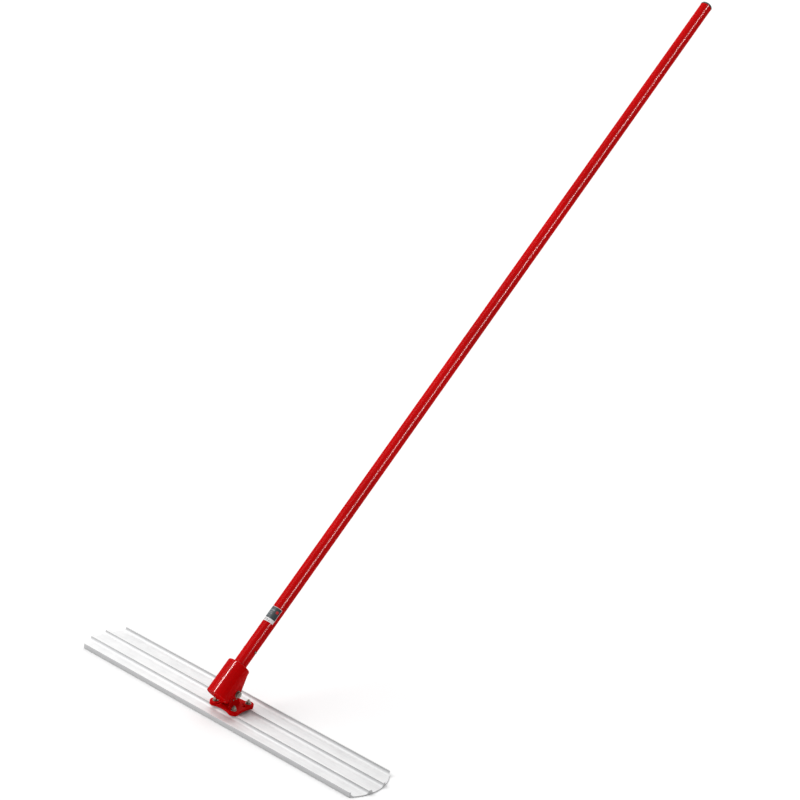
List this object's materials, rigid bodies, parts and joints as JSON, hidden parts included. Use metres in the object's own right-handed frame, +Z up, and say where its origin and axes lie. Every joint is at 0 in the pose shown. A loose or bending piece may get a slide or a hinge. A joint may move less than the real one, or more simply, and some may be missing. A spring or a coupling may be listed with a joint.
{
  "type": "bull float",
  "caption": "Long round-ended ridged float blade with a geared tilt bracket and a long straight tube handle, for smoothing fresh concrete.",
  "frame": {"origin": "centre of the blade's flat working face", "axes": "+X along the blade, +Y towards the person holding the handle, +Z up from the working face"},
  "size_m": [1.2192, 2.3693, 2.2602],
  "materials": {
    "magnesium": "extruded and lightly brushed magnesium alloy, bright pale grey",
    "red_casting": "glossy red powder coat over cast aluminium",
    "red_tube": "glossy red powder coat over drawn aluminium tube",
    "zinc_steel": "bright zinc plate",
    "tool_steel": "machined and oiled steel",
    "bronze": "sintered bronze",
    "spring_steel": "blued spring strip",
    "black_plastic": "moulded black plastic",
    "black_rubber": "nitrile rubber",
    "label_vinyl": "printed vinyl sticker"
  },
  "bodies": {
    "float_blade": {"blade": "magnesium", "base_plate": "red_casting", "blade_bolt_front_left": "zinc_steel", "blade_bolt_front_right": "zinc_steel", "blade_bolt_rear_left": "zinc_steel", "blade_bolt_rear_right": "zinc_steel", "blade_washer_front_left": "zinc_steel", "blade_washer_front_right": "zinc_steel", "blade_washer_rear_left": "zinc_steel", "blade_washer_rear_right": "zinc_steel", "blade_nut_front_left": "zinc_steel", "blade_nut_front_right": "zinc_steel", "blade_nut_rear_left": "zinc_steel", "blade_nut_rear_right": "zinc_steel", "gear_sector": "tool_steel", "gear_dowel_1": "zinc_steel", "gear_dowel_2": "zinc_steel", "gear_spacer_left": "zinc_steel", "gear_spacer_right": "zinc_steel", "pivot_bush_left": "bronze", "pivot_bush_right": "bronze", "pivot_thrust_washer_left": "bronze", "pivot_thrust_washer_right": "bronze"},
    "tilt_head": {"worm_housing": "red_casting", "bottom_cover": "red_casting", "cover_screw_1": "zinc_steel", "cover_screw_2": "zinc_steel", "cover_screw_3": "zinc_steel", "lower_bush": "bronze", "upper_bush": "bronze", "top_seal": "black_rubber", "pivot_bolt": "zinc_steel", "pivot_lock_nut": "zinc_steel", "pivot_washer_left": "zinc_steel", "pivot_washer_right": "zinc_steel"},
    "handle": {"spindle": "zinc_steel", "worm": "tool_steel", "worm_pin": "zinc_steel", "worm_thrust_washer": "bronze", "spindle_thrust_washer": "bronze", "spring_bow": "spring_steel", "handle_tube": "red_tube", "handle_end_cap": "black_plastic", "handle_label": "label_vinyl"},
    "left_button": {"lock_button_left": "zinc_steel", "spring_leg_left": "spring_steel"},
    "right_button": {"lock_button_right": "zinc_steel", "spring_leg_right": "spring_steel"}
  },
  "joints": [
    {"name": "handle_tilt", "type": "hinge", "parent": "float_blade", "child": "tilt_head", "pos_m": [0, -0.014, 0.074], "axis": [-1, 0, 0], "range_deg": [-20, 25]},
    {"name": "handle_twist", "type": "hinge", "parent": "tilt_head", "child": "handle", "pos_m": [0, -0.04401, 0.10618], "axis": [0, 0.7314, 0.682], "range_deg": [-400, 500]},
    {"name": "left_button_press", "type": "slide", "parent": "handle", "child": "left_button", "axis": [1, 0, 0], "range_m": [0, 0.005], "stiffness_N_per_m": 1500, "springref_m": -0.002},
    {"name": "right_button_press", "type": "slide", "parent": "handle", "child": "right_button", "axis": [-1, 0, 0], "range_m": [0, 0.005], "stiffness_N_per_m": 1500, "springref_m": -0.002}
  ],
  "couplings": [
    {"joint": "handle_twist", "follows": "handle_tilt", "ratio": 20}
  ]
}
